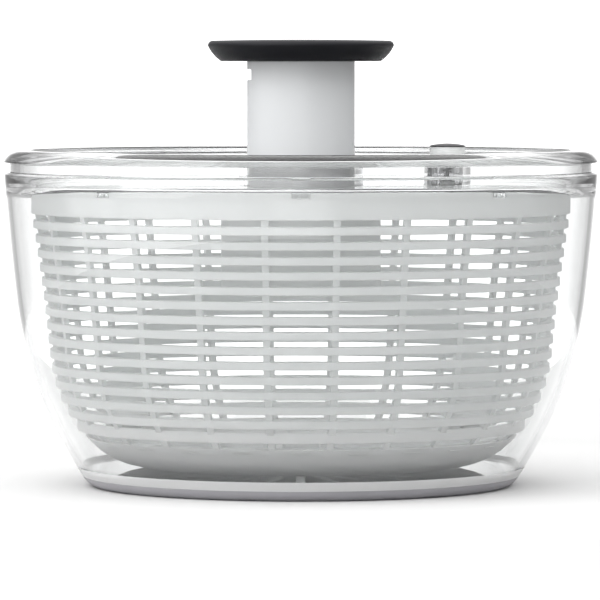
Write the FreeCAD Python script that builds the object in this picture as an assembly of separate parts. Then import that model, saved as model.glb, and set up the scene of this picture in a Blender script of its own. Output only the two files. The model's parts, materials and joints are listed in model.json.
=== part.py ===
import FreeCAD
import Part
import math
import os

# Salad spinner with a pump knob, in millimetres. +Z is up, the floor is Z = 0 and the axis of spin is Z.
# A clear bowl holds a slotted basket on a pivot cone. The lid carries a plunger, whose nut turns a twisted
# screw; a one-way clutch passes that turn to a plate and a well, and the plate turns the basket.

CLEAR = 0.3             # gap between pieces that move past each other
RUNNING = 0.1           # radial gap of a running fit
SEAT_GAP = 0.5          # radial gap of pieces that are lifted apart
OVERRUN = 1.0           # how far a cutter runs past what it cuts
NEARLY = 1e-6           # heights closer than this are the same

# Foot ring and bowl
FOOT_H = 4.6            # height of the soft ring
FOOT_TOP_R = 98.0       # its outer radius at the top, where it meets the bowl
FOOT_TAPER = 6.0        # how much narrower it is on the floor
FOOT_GRIP = 10.0        # how far the ring reaches in under the bowl
FOOT_LIP = 2.0          # width of the lip under the bowl's base
FOOT_BULGE = 0.8        # how far its side swells past a straight taper
BASE_Z = 1.5            # underside of the bowl's base
BASE_T = 6.5
BOWL_H = 140.7          # top of the bowl's rim
BOWL_RIM_R = 133.2
BOWL_WALL = 2.6
BOWL_SLOPE = 57.0       # the side's slope where it leaves the foot ring, in degrees
BOWL_CURVE = [(0, 0), (0.223, 0.466), (0.591, 0.852), (1, 1)]
RIM_T = 4.3             # thickness of the rim's bead
RIM_BEAD_H = 5.0
RIM_EDGE = 1.0          # bevel on both edges of the rim
PIVOT_R = 9.0           # cone that the basket turns on
PIVOT_TIP_R = 4.0
PIVOT_H = 14.0

# Basket
BASKET_GAP = 12.4       # basket's mouth to the bowl's widest
BASKET_WALL = 2.0
BASKET_LIFT = 1.8       # basket's base above the bowl's floor
BASKET_BASE_IN = 28.0   # flat base's edge inside the foot ring's
BASKET_CURVE = [(0, 0), (0.091, 0.478), (0.446, 0.841), (1, 1)]
BAND_H = 12.8           # solid band at the mouth
SLOT_FOOT_H = 13.1      # solid bottom, up to the lowest row of slots
SLOT_ROWS = 16
SLOT_H = 3.05
RIB_COUNT = 24
RIB_W = 3.1
RIB_T = 1.6             # ribs stand inside the hoops
HOOP_T = 2.0            # a hoop has one straight run to each rib
LET_IN = 0.4            # how far ribs are sunk into what they join
FLANGE_H = 2.0          # solid flanges that the ribs end in
SOCKET_T = 2.6          # wall of the socket over the pivot cone
FLOOR_SLOTS = 24
FLOOR_SLOT_W = 4.0
FLOOR_SLOT_START = 26.0
FLOOR_SLOT_RIM = 6.0    # solid rim of the base, outside the floor slots

# Lid
LIP_OVER = 0.1          # lip past the bowl's rim
LIP_GAP_H = 4.3         # recess between the lip and the rim
LIP_H = 5.3
LIP_ROUND = 7.3         # width of the lip's rounding
LIP_TOP_W = 5.0         # flat top of the lip, down to the deck
NECK_DEPTH = 2.6        # depth of the recess
SKIRT_GAP = 0.7         # skirt to the bowl's bead
SKIRT_T = 2.2
SKIRT_DEPTH = 5.3
DECK_DROP = 2.1         # deck below the lid's top
DECK_T = 2.2
COLLAR_H = 22.2         # plunger collar, down from the deck
COLLAR_T = 3.5
SHOULDER_DEPTH = 11.9   # step in the collar's bore that stops the plunger

# Plunger, knob and latch
PUMP_TRAVEL = 40.0
TUBE_R = 24.15
TUBE_WALL = 2.0
TUBE_GAP = 0.35         # tube to the collar's bore
STOP_H = 2.0            # flange at the tube's foot
STOP_W = 1.1
KEY_W = 2.6             # guide key in the collar, at the back
KEY_T = 0.8
WINDOW_H = 4.7          # window for the latch, on the -X side
WINDOW_W = 20.0
WINDOW_DEPTH = 3.0      # how far the window's cutter reaches in past the wall
KNOB_GAP = 1.9          # knob's underside to the deck, when it is down
KNOB_H = 9.7
KNOB_R = 41.7
KNOB_FLARE = 5.2        # how much wider the knob is at its top
KNOB_BULGE = 0.7
KNOB_ROUND = 2.5
KNOB_DOME = 0.5
CORE_EDGE = 2.5         # soft skin round the rigid core, at the knob's foot
CORE_T = 3.0            # the core's plate
CORE_PLUG_H = 3.0
CORE_CAP_STEP = 0.35    # cap in the middle of the core, past the tube's bore
CORE_CAP_WALL = 2.5
CORE_SKIN_T = 3.0       # soft skin over the cap
CORE_ROOF_T = 1.6
LATCH_TRAVEL = 4.5
LATCH_X = 12.0          # inner face of the latch's blade, at rest
LATCH_T = 2.5
LATCH_W = 8.0
HOOK_H = 3.6
HOOK_W = 16.0
HOOK_GAP = 0.2          # hook to the deck's underside, when the knob is down
SLIDER_L = 16.0
SLIDER_W = 12.0
SLIDER_RECESS = 2.0

# Screw, nut, spring and clutch
SCREW_LEAD = 20.0
SCREW_W = 12.0          # the screw is a flat bar, twisted
SCREW_T = 4.4
SCREW_END = 2.0         # screw above the nut
NUT_RISE = 12.0         # nut above the tube's foot
NUT_H = 6.0
SPRING_R = 10.5
SPRING_WIRE = 1.1
SPRING_TURNS = 7
SPRING_STEPS = 12       # straight runs in one turn of a coil
WASHER_T = 1.0
WASHER_R = 12.5
DRIVER_HUB_R = 9.0
DRIVER_HUB_H = 5.8
DRIVER_R = 15.0
PAWL_COUNT = 3
PAWL_SWEEP = 62.0       # angle that a pawl's arm winds round
PAWL_STEPS = 6
PAWL_T = 2.4
PAWL_TAPER = 0.8        # how much thinner the arm is at its tip
PAWL_H = 3.0
RATCHET_TEETH = 18
RATCHET_DEPTH = 2.0
RATCHET_TIP_R = 24.3
RATCHET_H = 4.6
SCREW_HEX = 9.0         # hexagonal foot of the screw, across flats
JOURNAL_R = 3.0
BUSH_R = 6.0
BUSH_FLANGE_R = 8.5
BUSH_FLANGE_T = 0.6

# Drive plate and well
PLATE_DROP = 11.2       # top of the plate below the deck's
PLATE_T = 1.5
PLATE_INSET = 0.2       # plate's edge inside the basket's
PLATE_LIP_T = 1.6
PLATE_LIP_GAP = 1.2     # lip to the basket's mouth
PLATE_LIP_H = 4.5
HUB_T = 5.0             # wall of the plate's hub
HUB_H = 3.7
LUG_COUNT = 8
LUG_W = 7.4
LUG_H = 3.0
BEARING_W = 3.8         # radial width of the bearing ring
BEARING_H = 3.0
CLIP_H = 1.5
CLIP_DEPTH = 0.8
CLIP_W = 3.0
CLIP_GAP = 5.0
WELL_WALL = 2.0
WELL_ROOM = 8.0         # well's underside below the tube's foot, when the knob is down
WELL_FLOOR_T = 2.4
WELL_FLANGE_T = 2.2
WELL_FLANGE_W = 8.0
WELL_SCREWS = 4
WELL_SCREW_R = 1.5
WELL_SCREW_L = 9.0
WELL_SCREW_HEAD_R = 3.2
WELL_SCREW_HEAD_H = 1.6
WELL_SCREW_GAP = 0.6    # screw's head to the well's side
WELL_BOSS_R = 3.6

# Brake
BRAKE_X = 65.7
BUTTON_R = 8.0
BUTTON_RISE = 5.1       # top of the button above the deck
BUTTON_DOME = 0.8
BUTTON_WALL = 1.7
BRAKE_TRAVEL = 1.4
BRAKE_ROOM = 0.8        # button's skirt to the cup's floor, when it is pressed
CUP_WALL = 2.0
CUP_FLOOR_T = 1.6
PAD_R = 9.5
PAD_T = 1.6
STEM_R = 2.0
STEM_FOOT_R = 4.5
STEM_FOOT_T = 0.8
BRAKE_SPRING_R = 5.0
BRAKE_SPRING_WIRE = 0.6
BRAKE_SPRING_TURNS = 5

# Radii that follow from these
FOOT_FLOOR_R = FOOT_TOP_R - FOOT_TAPER
FOOT_SEAT_R = FOOT_TOP_R - FOOT_GRIP
BASKET_R = BOWL_RIM_R - BASKET_GAP
BASKET_BASE_R = FOOT_TOP_R - BASKET_BASE_IN
FLOOR_SLOT_END = BASKET_BASE_R - FLOOR_SLOT_RIM
LID_R = BOWL_RIM_R + LIP_OVER
LIP_FLAT_R = LID_R - LIP_ROUND
DECK_R = LIP_FLAT_R - LIP_TOP_W
NECK_R = BOWL_RIM_R - NECK_DEPTH
SKIRT_R = BOWL_RIM_R - RIM_T - SKIRT_GAP
SKIRT_IN_R = SKIRT_R - SKIRT_T
BORE_R = TUBE_R + TUBE_GAP
COLLAR_R = BORE_R + COLLAR_T
TUBE_IN_R = TUBE_R - TUBE_WALL
STOP_R = TUBE_R + STOP_W
LOWER_BORE_R = STOP_R + CLEAR
KNOB_FOOT_R = KNOB_R - KNOB_FLARE
CORE_R = KNOB_FOOT_R - CORE_EDGE
CORE_CAP_R = TUBE_IN_R + CORE_CAP_STEP
HUB_R = COLLAR_R + SEAT_GAP
HUB_OUT_R = HUB_R + HUB_T
WELL_IN_R = HUB_OUT_R + CLEAR
WELL_R = WELL_IN_R + WELL_WALL
WELL_SCREW_CIRCLE = WELL_R + WELL_SCREW_HEAD_R + WELL_SCREW_GAP
PLATE_R = BASKET_R - PLATE_INSET
CUP_IN_R = BUTTON_R + SEAT_GAP

# Heights that follow, from the bowl up to the lid and knob
BOWL_FLOOR_Z = BASE_Z + BASE_T
BASKET_BASE_Z = BOWL_FLOOR_Z + BASKET_LIFT
LIP_Z = BOWL_H + LIP_GAP_H
LID_TOP_Z = LIP_Z + LIP_H
SKIRT_Z = BOWL_H - SKIRT_DEPTH
DECK_Z = LID_TOP_Z - DECK_DROP
DECK_UNDER_Z = DECK_Z - DECK_T
COLLAR_Z = DECK_Z - COLLAR_H
SHOULDER_Z = DECK_Z - SHOULDER_DEPTH
TUBE_TOP_Z = DECK_Z + PUMP_TRAVEL + KNOB_GAP
KNOB_TOP_Z = TUBE_TOP_Z + KNOB_H
KNOB_EDGE_Z = KNOB_TOP_Z - KNOB_DOME
CORE_CAP_Z = KNOB_TOP_Z - CORE_SKIN_T
HOOK_Z = DECK_UNDER_Z + PUMP_TRAVEL - HOOK_GAP - HOOK_H
WINDOW_TOP_Z = HOOK_Z + HOOK_H + 2 * CLEAR

# and from the lid down to the plate, the basket's mouth and the well
PLATE_TOP_Z = DECK_Z - PLATE_DROP
PLATE_Z = PLATE_TOP_Z - PLATE_T
HUB_Z = PLATE_Z - HUB_H
BEARING_TOP_Z = HUB_Z - CLEAR
BASKET_TOP_Z = PLATE_Z - CLEAR
SLOT_TOP_Z = BASKET_TOP_Z - BAND_H
SLOT_BASE_Z = BASKET_BASE_Z + SLOT_FOOT_H
SLOT_PITCH = (SLOT_TOP_Z - SLOT_BASE_Z - SLOT_H) / (SLOT_ROWS - 1)
TUBE_FOOT_Z = SHOULDER_Z - CLEAR - STOP_H
NUT_Z = TUBE_FOOT_Z + NUT_RISE
SCREW_TOP_Z = NUT_Z + NUT_H + SCREW_END
WELL_BASE_Z = TUBE_FOOT_Z - PUMP_TRAVEL - WELL_ROOM
WELL_FLOOR_Z = WELL_BASE_Z + WELL_FLOOR_T
DRIVER_Z = WELL_FLOOR_Z + BUSH_FLANGE_T + CLEAR
SPRING_Z = DRIVER_Z + DRIVER_HUB_H + WASHER_T
PAD_Z = PLATE_TOP_Z + BRAKE_TRAVEL + RUNNING
CUP_Z = PAD_Z + PAD_T + CLEAR
CUP_FLOOR_Z = CUP_Z + CUP_FLOOR_T
BUTTON_TOP_Z = DECK_Z + BUTTON_RISE
BUTTON_EDGE_Z = BUTTON_TOP_Z - BUTTON_DOME
BUTTON_ROOF_Z = BUTTON_EDGE_Z - BUTTON_WALL
BUTTON_Z = CUP_FLOOR_Z + BRAKE_TRAVEL + BRAKE_ROOM

AXIS = FreeCAD.Vector(0, 0, 1)
ORIGIN = FreeCAD.Vector(0, 0, 0)


def at(r, z):
    """The point at radius r and height z, in the plane that is turned about the axis."""
    return FreeCAD.Vector(r, 0, z)


def turned(points):
    """A solid turned about Z from a closed outline of (radius, height) points."""
    corners = [at(r, z) for r, z in points]
    return turned_edges([Part.makePolygon(corners + corners[:1])])


def turned_edges(edges):
    """A solid turned about Z from edges and wires that close an outline."""
    lines = []
    for edge in edges:
        lines.extend(edge.Edges)
    wire = Part.Wire(Part.__sortEdges__(lines))
    return Part.Face(wire).revolve(ORIGIN, AXIS, 360)


def path(*points):
    """A run of straight edges through (radius, height) points."""
    return Part.makePolygon([at(r, z) for r, z in points])


def arc(start, middle, end):
    return Part.Arc(at(*start), at(*middle), at(*end)).toShape()


def stations(curve, degrees, low_r, low_z, high_r, high_z):
    """The outline of a moulding as (place, way) pairs, where arcs that touch end to end meet.

    The curve is a list of (share of the height, share of the widening), and degrees its slope at the start.
    """
    places = [at(low_r + (high_r - low_r) * wide, low_z + (high_z - low_z) * high) for high, wide in curve]
    way = at(math.cos(math.radians(degrees)), math.sin(math.radians(degrees)))
    outline = [(places[0], way)]
    for start, end in zip(places, places[1:]):
        chord = (end - start).normalize()
        way = chord * (2 * way.dot(chord)) - way
        outline.append((end, way))
    return outline


def arc_from(station, end):
    """The arc that leaves a station along its way and ends at a point."""
    start, way = station
    chord = end - start
    half = way + FreeCAD.Vector(chord).normalize()
    return Part.ArcOfCircle(start, start + half * (chord.Length ** 2 / (2 * half.dot(chord))), end)


def inside(outline, wall):
    """The outline set in by a wall's thickness."""
    return [(place + FreeCAD.Vector(-way.z, 0, way.x) * wall, way) for place, way in outline]


def station_at(outline, z):
    """The place and way of an outline at height z."""
    if abs(z - outline[0][0].z) < NEARLY:
        return outline[0]
    arcs = [arc_from(one, two[0]) for one, two in zip(outline, outline[1:])]
    tops = [two[0].z for two in outline[1:-1]]
    curve = arcs[sum(z > top for top in tops)]
    low, high = curve.FirstParameter, curve.LastParameter
    for _ in range(50):
        middle = (low + high) / 2
        if curve.value(middle).z < z:
            low = middle
        else:
            high = middle
    return curve.value(low), curve.tangent(low)[0]


def radius_at(outline, z):
    return station_at(outline, z)[0].x


def between(outline, low_z, high_z):
    """The edges of an outline between two heights."""
    chain = [station_at(outline, low_z)]
    chain += [station for station in outline if low_z + NEARLY < station[0].z < high_z - NEARLY]
    chain.append(station_at(outline, high_z))
    return Part.Wire([arc_from(one, two[0]).toShape() for one, two in zip(chain, chain[1:])])


def ring(inner, outer, z, height):
    """A plain ring; an inner radius of 0 gives a disc."""
    solid = Part.makeCylinder(outer, height, at(0, z))
    if inner > 0:
        solid = solid.cut(Part.makeCylinder(inner, height, at(0, z)))
    return solid


def prism(points, z, height):
    """A solid with the outline of (x, y) points, standing on z."""
    corners = [FreeCAD.Vector(x, y, z) for x, y in points]
    return Part.Face(Part.makePolygon(corners + corners[:1])).extrude(AXIS * height)


def spot(r, degrees):
    """The (x, y) place at a radius and an angle."""
    return r * math.cos(math.radians(degrees)), r * math.sin(math.radians(degrees))


def block(x0, x1, width, z0, z1):
    """A box from x0 to x1, centred on the XZ plane."""
    return Part.makeBox(x1 - x0, width, z1 - z0, FreeCAD.Vector(x0, -width / 2, z0))


def around(shape, count, start=0.0):
    """Copies of a shape, evenly spaced about the axis."""
    return [shape.rotated(ORIGIN, AXIS, start + 360.0 * n / count) for n in range(count)]


def fused(shapes):
    return shapes[0].multiFuse(shapes[1:]).removeSplitter()


def cut(shape, tools):
    return shape.cut(Part.makeCompound(tools))


def moved(shape, x):
    return shape.translated(FreeCAD.Vector(x, 0, 0))


def bowl_outer():
    return stations(BOWL_CURVE, BOWL_SLOPE, FOOT_TOP_R, FOOT_H, BOWL_RIM_R, BOWL_H)


def basket_outer():
    return stations(BASKET_CURVE, 0, BASKET_BASE_R, BASKET_BASE_Z, BASKET_R, SLOT_TOP_Z)


# Bowl


def bowl():
    outer = bowl_outer()
    inner = inside(outer, BOWL_WALL)
    bead_z = BOWL_H - RIM_BEAD_H
    bead_r = BOWL_RIM_R - RIM_T
    neck_z = bead_z - RIM_T + BOWL_WALL - RIM_EDGE
    edge_z = BOWL_H - RIM_EDGE
    edge_r = radius_at(outer, edge_z)
    pivot_z = BOWL_FLOOR_Z + PIVOT_H
    return turned_edges([
        path((0, BASE_Z), (FOOT_SEAT_R, BASE_Z), (FOOT_SEAT_R, FOOT_H), (FOOT_TOP_R, FOOT_H)),
        between(outer, FOOT_H, edge_z),
        path((edge_r, edge_z), (edge_r - RIM_EDGE, BOWL_H), (bead_r + RIM_EDGE, BOWL_H), (bead_r, edge_z),
             (bead_r, bead_z), (radius_at(inner, neck_z), neck_z)),
        between(inner, BOWL_FLOOR_Z, neck_z),
        path((radius_at(inner, BOWL_FLOOR_Z), BOWL_FLOOR_Z), (PIVOT_R, BOWL_FLOOR_Z), (PIVOT_TIP_R, pivot_z),
             (0, pivot_z), (0, BASE_Z)),
    ])


def foot_ring():
    side = (FOOT_FLOOR_R + FOOT_TOP_R) / 2 + FOOT_BULGE
    return turned_edges([
        path((FOOT_TOP_R, FOOT_H), (FOOT_SEAT_R, FOOT_H), (FOOT_SEAT_R, BASE_Z),
             (FOOT_SEAT_R - FOOT_LIP, BASE_Z), (FOOT_SEAT_R - FOOT_LIP, 0), (FOOT_FLOOR_R, 0)),
        arc((FOOT_FLOOR_R, 0), (side, (FOOT_H - FOOT_BULGE) / 2), (FOOT_TOP_R, FOOT_H)),
    ])


# Basket


def hoop_flat(z):
    """Distance from the axis to the flats of a hoop, whose corners lie on the basket's outline."""
    return radius_at(basket_outer(), z) * math.cos(math.radians(180 / RIB_COUNT))


def hoops():
    """The (flat, underside, top) of each hoop between two rows of slots, from the top down."""
    rows = []
    for row in range(SLOT_ROWS - 1):
        top = SLOT_TOP_Z - SLOT_PITCH * row - SLOT_H
        base = SLOT_TOP_Z - SLOT_PITCH * (row + 1)
        rows.append((hoop_flat((top + base) / 2), base, top))
    return rows


def hoop(flat, base, top):
    half_bay = 180 / RIB_COUNT
    shapes = []
    for reach in (flat, flat - HOOP_T):
        corner = reach / math.cos(math.radians(half_bay))
        shapes.append(prism([spot(corner, 2 * half_bay * n) for n in range(RIB_COUNT)], base, top - base))
    return shapes[0].cut(shapes[1])


def rib():
    """One upright rib, standing inside the hoops and sunk a little into them and into the flanges."""
    foot_r = hoop_flat(SLOT_BASE_Z) - HOOP_T
    outside = [(foot_r, SLOT_BASE_Z - LET_IN)]
    inner_side = [(foot_r - RIB_T, SLOT_BASE_Z - LET_IN)]
    for row, (flat, base, top) in reversed(list(enumerate(hoops()))):
        face = flat - HOOP_T
        outside += [(face + LET_IN, base), (face + LET_IN, top)]
        if row % 2 == 0:
            inner_side.append((face - RIB_T, (base + top) / 2))
    head_r = hoops()[0][0] - HOOP_T
    outside.append((head_r, SLOT_TOP_Z + LET_IN))
    inner_side.append((head_r - RIB_T, SLOT_TOP_Z + LET_IN))
    corners = [at(r, z) for r, z in outside + inner_side[::-1]]
    face = Part.Face(Part.makePolygon(corners + corners[:1]))
    face.translate(FreeCAD.Vector(0, -RIB_W / 2, 0))
    return face.extrude(FreeCAD.Vector(0, RIB_W, 0))


def basket_mouth():
    head_r = hoops()[0][0] - HOOP_T - RIB_T - CLEAR
    bore = BASKET_R - BASKET_WALL
    return turned([
        (head_r, SLOT_TOP_Z), (BASKET_R, SLOT_TOP_Z), (BASKET_R, BASKET_TOP_Z), (bore, BASKET_TOP_Z),
        (bore, SLOT_TOP_Z + FLANGE_H + bore - head_r), (head_r, SLOT_TOP_Z + FLANGE_H),
    ])


def basket_bottom():
    outer = basket_outer()
    inner = inside(outer, BASKET_WALL)
    floor_z = BASKET_BASE_Z + BASKET_WALL
    flange_r = hoop_flat(SLOT_BASE_Z) - HOOP_T - RIB_T - CLEAR
    flange_z = SLOT_BASE_Z - FLANGE_H * 2
    gap = CLEAR / math.cos(math.atan2(PIVOT_R - PIVOT_TIP_R, PIVOT_H))
    slope = (PIVOT_R - PIVOT_TIP_R) / PIVOT_H
    mouth_r = PIVOT_R + gap - slope * (BASKET_BASE_Z - BOWL_FLOOR_Z)
    tip_z = BOWL_FLOOR_Z + PIVOT_H + CLEAR
    tip_r = PIVOT_TIP_R + gap
    return turned_edges([
        path((0, tip_z), (tip_r, tip_z), (mouth_r, BASKET_BASE_Z), (BASKET_BASE_R, BASKET_BASE_Z)),
        between(outer, BASKET_BASE_Z, SLOT_BASE_Z),
        path((radius_at(outer, SLOT_BASE_Z), SLOT_BASE_Z), (flange_r, SLOT_BASE_Z),
             (radius_at(inner, flange_z), flange_z)),
        between(inner, floor_z, flange_z),
        path((BASKET_BASE_R, floor_z), (mouth_r + SOCKET_T, floor_z), (tip_r + SOCKET_T, tip_z),
             (tip_r, tip_z + SOCKET_T), (0, tip_z + SOCKET_T), (0, tip_z)),
    ])


def basket():
    half_bay = 180.0 / RIB_COUNT
    pieces = [basket_mouth(), basket_bottom()]
    pieces += [hoop(*row) for row in hoops()]
    pieces += around(rib(), RIB_COUNT, half_bay)
    floor_slot = block(FLOOR_SLOT_START, FLOOR_SLOT_END, FLOOR_SLOT_W, BASKET_BASE_Z - OVERRUN,
                       SLOT_BASE_Z)
    notch = block(BASKET_R - BASKET_WALL - OVERRUN, BASKET_R + OVERRUN, LUG_W + 2 * CLEAR,
                  BASKET_TOP_Z - LUG_H, BASKET_TOP_Z + OVERRUN)
    return cut(fused(pieces), around(floor_slot, FLOOR_SLOTS) + around(notch, LUG_COUNT))


# Lid


def lid_shell():
    round_r = LIP_FLAT_R + (LID_R - LIP_FLAT_R) * math.sqrt(0.5)
    round_z = LIP_Z + (LID_TOP_Z - LIP_Z) * math.sqrt(0.5)
    clip_top = BEARING_TOP_Z - BEARING_H
    groove_r = COLLAR_R - CLIP_DEPTH
    body = turned_edges([
        path((DECK_R, DECK_Z), (DECK_R + (LID_TOP_Z - DECK_Z) / 2, LID_TOP_Z), (LIP_FLAT_R, LID_TOP_Z)),
        arc((LIP_FLAT_R, LID_TOP_Z), (round_r, round_z), (LID_R, LIP_Z)),
        path((LID_R, LIP_Z), (NECK_R, LIP_Z), (NECK_R, BOWL_H), (SKIRT_R, BOWL_H), (SKIRT_R, SKIRT_Z),
             (SKIRT_IN_R, SKIRT_Z), (SKIRT_IN_R, DECK_UNDER_Z), (COLLAR_R, DECK_UNDER_Z),
             (COLLAR_R, clip_top), (groove_r, clip_top), (groove_r, clip_top - CLIP_H),
             (COLLAR_R, clip_top - CLIP_H), (COLLAR_R, COLLAR_Z), (LOWER_BORE_R, COLLAR_Z),
             (LOWER_BORE_R, SHOULDER_Z), (BORE_R, SHOULDER_Z), (BORE_R, DECK_Z), (DECK_R, DECK_Z)),
    ])
    cup = moved(ring(0, CUP_IN_R + CUP_WALL, CUP_Z, DECK_Z - CUP_Z), BRAKE_X)
    key = block(TUBE_R - KEY_T + CLEAR, BORE_R + CLEAR, KEY_W, SHOULDER_Z, DECK_Z).rotated(ORIGIN, AXIS, 90)
    hook_z = HOOK_Z - PUMP_TRAVEL
    return cut(body.fuse([cup, key]).removeSplitter(), [
        moved(ring(0, CUP_IN_R, CUP_FLOOR_Z, DECK_Z), BRAKE_X),
        moved(ring(0, STEM_R + 2 * CLEAR, CUP_Z - OVERRUN, DECK_Z), BRAKE_X),
        block(-COLLAR_R - OVERRUN, WINDOW_DEPTH - BORE_R, WINDOW_W, hook_z - 4 * CLEAR, DECK_UNDER_Z),
    ])


def bearing_ring():
    return ring(COLLAR_R, COLLAR_R + BEARING_W, BEARING_TOP_Z - BEARING_H, BEARING_H)


def retaining_clip():
    """A split ring, snapped into the collar's groove under the bearing ring."""
    groove_r = COLLAR_R - CLIP_DEPTH
    whole = ring(groove_r, groove_r + CLIP_W, BEARING_TOP_Z - BEARING_H - CLIP_H, CLIP_H)
    return whole.cut(block(0, COLLAR_R + CLIP_W, CLIP_GAP, COLLAR_Z, BEARING_TOP_Z))


# Plunger, knob and latch


def plunger_tube():
    tube = turned([
        (TUBE_IN_R, TUBE_FOOT_Z), (STOP_R, TUBE_FOOT_Z), (STOP_R, TUBE_FOOT_Z + STOP_H),
        (TUBE_R, TUBE_FOOT_Z + STOP_H), (TUBE_R, TUBE_TOP_Z), (TUBE_IN_R, TUBE_TOP_Z),
    ])
    window = block(-TUBE_R - OVERRUN, WINDOW_DEPTH - TUBE_IN_R, WINDOW_W, WINDOW_TOP_Z - WINDOW_H,
                   WINDOW_TOP_Z)
    groove = block(TUBE_R - KEY_T, STOP_R + OVERRUN, KEY_W + 2 * CLEAR, TUBE_FOOT_Z + STOP_H, TUBE_TOP_Z)
    return cut(tube, [window, groove.rotated(ORIGIN, AXIS, 90)])


def latch_slot():
    """The slot that the latch's blade slides in, through the knob's core and skin."""
    outer_x = LATCH_X + LATCH_T + LATCH_TRAVEL + CLEAR
    return block(-outer_x, CLEAR - LATCH_X, LATCH_W + 2 * CLEAR, TUBE_TOP_Z, KNOB_TOP_Z)


def core_outside():
    return [(CORE_R, TUBE_TOP_Z), (CORE_R, TUBE_TOP_Z + CORE_T), (CORE_CAP_R, TUBE_TOP_Z + CORE_T),
            (CORE_CAP_R, CORE_CAP_Z), (0, CORE_CAP_Z)]


def knob_core():
    bore = CORE_CAP_R - CORE_CAP_WALL
    core = turned(core_outside() + [
        (0, CORE_CAP_Z - CORE_ROOF_T), (bore, CORE_CAP_Z - CORE_ROOF_T), (bore, TUBE_TOP_Z - CORE_PLUG_H),
        (TUBE_IN_R, TUBE_TOP_Z - CORE_PLUG_H), (TUBE_IN_R, TUBE_TOP_Z),
    ])
    return core.cut(latch_slot())


def knob_grip():
    round_z = KNOB_EDGE_Z - KNOB_ROUND
    flat_r = KNOB_R - KNOB_ROUND
    side = ((KNOB_FOOT_R + KNOB_R) / 2 + KNOB_BULGE, (TUBE_TOP_Z + round_z - KNOB_BULGE) / 2)
    corner = (flat_r + KNOB_ROUND * math.sqrt(0.5), round_z + KNOB_ROUND * math.sqrt(0.5))
    skin = turned_edges([
        path(*reversed(core_outside()), (KNOB_FOOT_R, TUBE_TOP_Z)),
        arc((KNOB_FOOT_R, TUBE_TOP_Z), side, (KNOB_R, round_z)),
        arc((KNOB_R, round_z), corner, (flat_r, KNOB_EDGE_Z)),
        path((flat_r, KNOB_EDGE_Z), (0, KNOB_TOP_Z), (0, CORE_CAP_Z)),
    ])
    recess = slider_shape(LATCH_TRAVEL, CLEAR, KNOB_EDGE_Z - SLIDER_RECESS, KNOB_TOP_Z)
    return cut(skin, [recess, latch_slot()])


def slider_shape(travel, gap, base, top):
    """The thumb slider's pad, or with a travel and a gap the recess that it moves in."""
    inner_x = LATCH_X + (LATCH_T - SLIDER_L) / 2
    outer_x = inner_x + SLIDER_L + travel
    return block(-outer_x - gap, gap - inner_x, SLIDER_W + 2 * gap, base, top)


def lock_slider():
    pad = slider_shape(0, 0, KNOB_EDGE_Z - SLIDER_RECESS + CLEAR, KNOB_EDGE_Z)
    upright = [edge for edge in pad.Edges if abs(edge.tangentAt(edge.FirstParameter).z) > 0.9]
    return pad.makeFillet(SLIDER_W / 4, upright)


def lock_latch():
    blade = block(-LATCH_X - LATCH_T, -LATCH_X, LATCH_W, HOOK_Z, KNOB_EDGE_Z - SLIDER_RECESS + CLEAR)
    hook = block(CLEAR - TUBE_IN_R, -LATCH_X, HOOK_W, HOOK_Z, HOOK_Z + HOOK_H)
    return fused([blade, hook])


# Screw, nut, spring and clutch


def twisted_bar(gap=0.0):
    """The screw's twisted flat bar, or with a gap the hole that runs along it."""
    base_z = SPRING_Z
    length = SCREW_TOP_Z - base_z
    wide, thick = SCREW_W / 2 + gap, SCREW_T / 2 + gap
    section = ((wide, thick), (-wide, thick), (-wide, -thick), (wide, -thick))
    corners = [FreeCAD.Vector(x, y, base_z) for x, y in section]
    guide = Part.makeHelix(SCREW_LEAD, length, SCREW_W).translated(at(0, base_z))
    sweep = Part.BRepOffsetAPI.MakePipeShell(Part.Wire(Part.makeLine(at(0, base_z), at(0, SCREW_TOP_Z))))
    sweep.setAuxiliarySpine(Part.Wire(guide.Edges), True, 0)
    sweep.add(Part.makePolygon(corners + corners[:1]))
    sweep.build()
    sweep.makeSolid()
    return sweep.shape()


def hexagon(z, height):
    corner = SCREW_HEX / 2 / math.cos(math.radians(30))
    return prism([spot(corner, 60 * n) for n in range(6)], z, height)


def drive_screw():
    journal = ring(0, JOURNAL_R, WELL_BASE_Z, DRIVER_Z - WELL_BASE_Z)
    return fused([journal, hexagon(DRIVER_Z, SPRING_Z - DRIVER_Z), twisted_bar()])


def drive_nut():
    return ring(0, TUBE_IN_R, NUT_Z, NUT_H).cut(twisted_bar(CLEAR))


def coil(radius, wire, base_z, top_z, turns):
    """A compression spring, its wire laid in short straight runs."""
    half = wire / 2
    section = ((-half, -half), (half, -half), (half, half), (-half, half))
    low, high = base_z + half, top_z - half
    rings = []
    for step in range(turns * SPRING_STEPS + 1):
        degrees = 360.0 * step / SPRING_STEPS
        z = low + (high - low) * step / (turns * SPRING_STEPS)
        corners = [FreeCAD.Vector(*spot(radius + across, degrees), z + up) for across, up in section]
        rings.append(Part.makePolygon(corners + corners[:1]))
    return Part.makeLoft(rings, True, True)


def return_spring():
    return coil(SPRING_R, SPRING_WIRE, SPRING_Z, NUT_Z, SPRING_TURNS)


def thrust_washer():
    bore = SCREW_HEX / 2 / math.cos(math.radians(30)) + RUNNING
    return ring(bore, WASHER_R, DRIVER_Z + DRIVER_HUB_H, WASHER_T)


def pawl():
    """An arm that winds out from the driver's disc and ends just inside the ratchet's teeth."""
    start_r = DRIVER_R - PAWL_T / 2
    reach = RATCHET_TIP_R - CLEAR - start_r
    outer_edge, inner_edge = [], []
    for step in range(PAWL_STEPS + 1):
        share = step / PAWL_STEPS
        outer_edge.append(spot(start_r + reach * share, PAWL_SWEEP * share))
        thickness = PAWL_T - PAWL_TAPER * share
        inner_edge.append(spot(start_r + reach * share - thickness, PAWL_SWEEP * share))
    return prism(outer_edge + inner_edge[::-1], DRIVER_Z, PAWL_H)


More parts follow.
